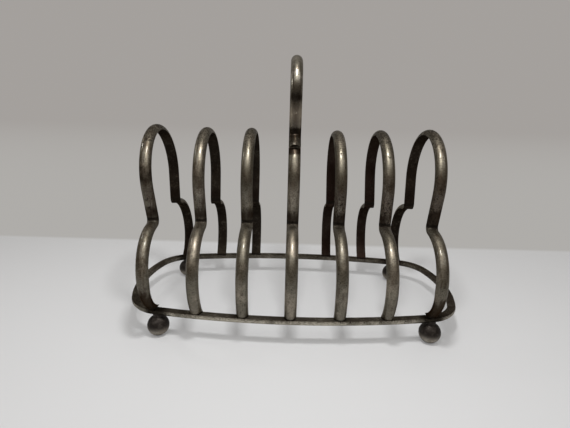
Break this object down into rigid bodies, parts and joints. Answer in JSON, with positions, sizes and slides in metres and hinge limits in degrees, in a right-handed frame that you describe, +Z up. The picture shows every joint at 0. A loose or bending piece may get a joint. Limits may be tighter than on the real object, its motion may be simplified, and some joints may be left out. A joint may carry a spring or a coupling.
{
  "type": "toast rack",
  "caption": "Plated wire toast rack: club-shaped hoops stand on an oval base ring with ball feet, and a loop handle tops the middle hoop.",
  "frame": {"origin": "on the table, under the middle of the base ring", "axes": "+X along the rack, across the slots; +Y to the back; +Z up"},
  "size_m": [0.1556, 0.0814, 0.1194],
  "materials": {
    "base_ring": "tarnished silver plate on nickel brass",
    "hoop_1": "tarnished silver plate on nickel brass",
    "hoop_2": "tarnished silver plate on nickel brass",
    "hoop_3": "tarnished silver plate on nickel brass",
    "hoop_4": "tarnished silver plate on nickel brass",
    "hoop_5": "tarnished silver plate on nickel brass",
    "hoop_6": "tarnished silver plate on nickel brass",
    "hoop_7": "tarnished silver plate on nickel brass",
    "loop_handle": "tarnished silver plate on nickel brass",
    "foot_front_left": "tarnished silver plate on nickel brass",
    "foot_back_left": "tarnished silver plate on nickel brass",
    "foot_front_right": "tarnished silver plate on nickel brass",
    "foot_back_right": "tarnished silver plate on nickel brass"
  },
  "bodies": {
    "root": {"base_ring": "base_ring", "hoop_1": "hoop_1", "hoop_2": "hoop_2", "hoop_3": "hoop_3", "hoop_4": "hoop_4", "hoop_5": "hoop_5", "hoop_6": "hoop_6", "hoop_7": "hoop_7", "loop_handle": "loop_handle", "foot_front_left": "foot_front_left", "foot_back_left": "foot_back_left", "foot_front_right": "foot_front_right", "foot_back_right": "foot_back_right"}
  },
  "joints": []
}
